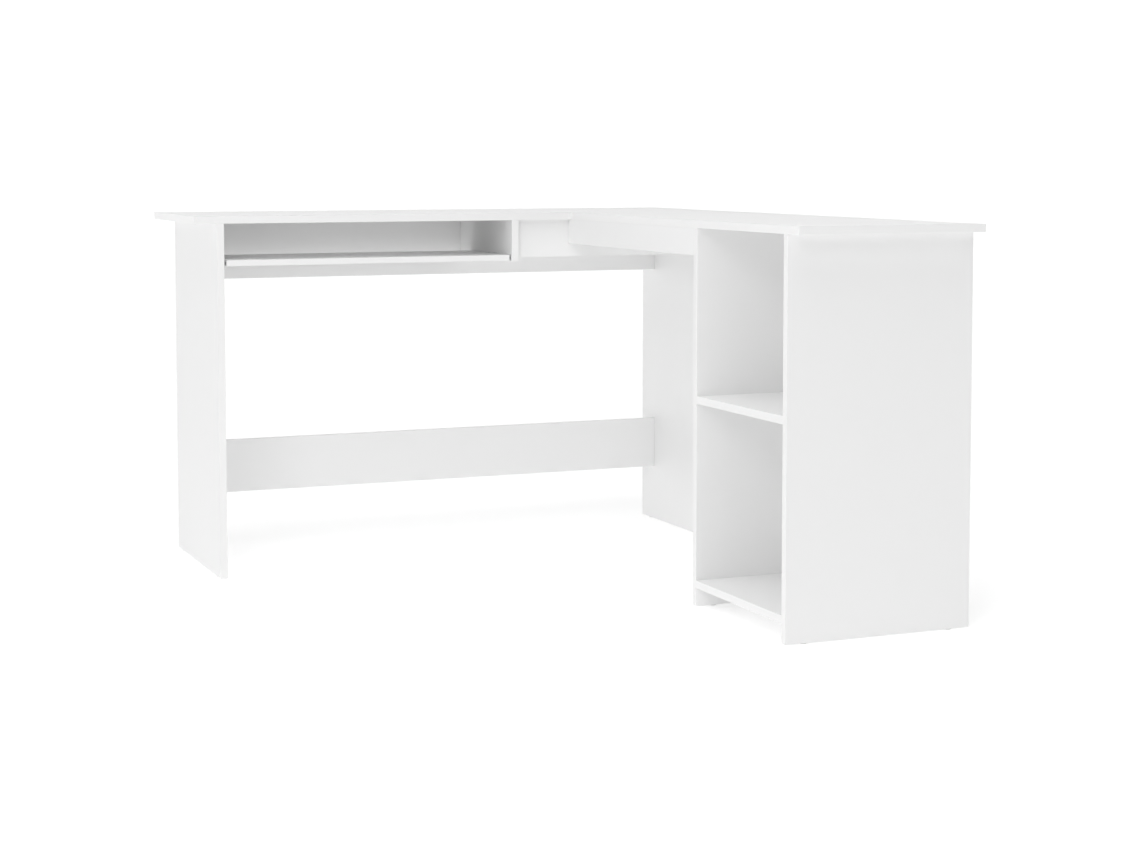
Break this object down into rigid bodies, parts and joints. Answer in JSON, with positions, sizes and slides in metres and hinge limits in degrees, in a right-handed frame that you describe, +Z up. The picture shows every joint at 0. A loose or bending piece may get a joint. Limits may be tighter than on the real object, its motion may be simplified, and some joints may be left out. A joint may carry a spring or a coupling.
{
  "type": "corner desk",
  "caption": "L-shaped white board corner desk with leg panels, an open shelf cabinet under the return and a sliding keyboard tray.",
  "frame": {"origin": "on the floor under the middle of the desktop's outline", "axes": "+X along the main wing towards the corner, +Y towards the back edge and along the return, +Z up"},
  "size_m": [1.2, 1.4, 0.74],
  "materials": {
    "white_melamine": "white melamine-faced chipboard with matching edge bands, satin",
    "slide_steel": "white powder-coated folded steel",
    "cage_steel": "thin bright steel strip, lightly greased",
    "ball_steel": "polished hardened steel balls",
    "zinc_screw": "bright zinc-plated steel",
    "zinc_casting": "die-cast zinc, matt grey",
    "plate_steel": "zinc-plated flat steel",
    "beech": "fluted beech",
    "glide_plastic": "moulded white plastic"
  },
  "bodies": {
    "desk": {"main_top": "white_melamine", "return_top": "white_melamine", "left_leg_panel": "white_melamine", "corner_leg_panel": "white_melamine", "rear_rail": "white_melamine", "stretcher": "white_melamine", "tray_divider": "white_melamine", "corner_front_rail": "white_melamine", "return_inner_rail": "white_melamine", "return_outer_rail": "white_melamine", "cabinet_far_panel": "white_melamine", "cabinet_end_panel": "white_melamine", "middle_shelf": "white_melamine", "bottom_shelf": "white_melamine", "left_slide_outer": "slide_steel", "right_slide_outer": "slide_steel", "slide_wall_screws": "zinc_screw", "cam_housings": "zinc_casting", "cam_bolts": "zinc_screw", "dowels": "beech", "joining_plate_1": "plate_steel", "joining_plate_2": "plate_steel", "plate_screws": "zinc_screw", "rail_screws": "zinc_screw", "floor_glides": "glide_plastic", "glide_nails": "zinc_screw"},
    "tray": {"keyboard_tray": "white_melamine", "left_slide_inner": "slide_steel", "right_slide_inner": "slide_steel", "slide_tray_screws": "zinc_screw"},
    "ball_cages": {"left_ball_cage": "cage_steel", "right_ball_cage": "cage_steel", "left_slide_balls": "ball_steel", "right_slide_balls": "ball_steel"}
  },
  "joints": [
    {"name": "tray_slide", "type": "slide", "parent": "desk", "child": "tray", "axis": [0, -1, 0], "range_m": [0, 0.18]},
    {"name": "cage_slide", "type": "slide", "parent": "desk", "child": "ball_cages", "axis": [0, -1, 0], "range_m": [0, 0.09]}
  ],
  "couplings": [
    {"joint": "cage_slide", "follows": "tray_slide", "ratio": 0.5}
  ]
}
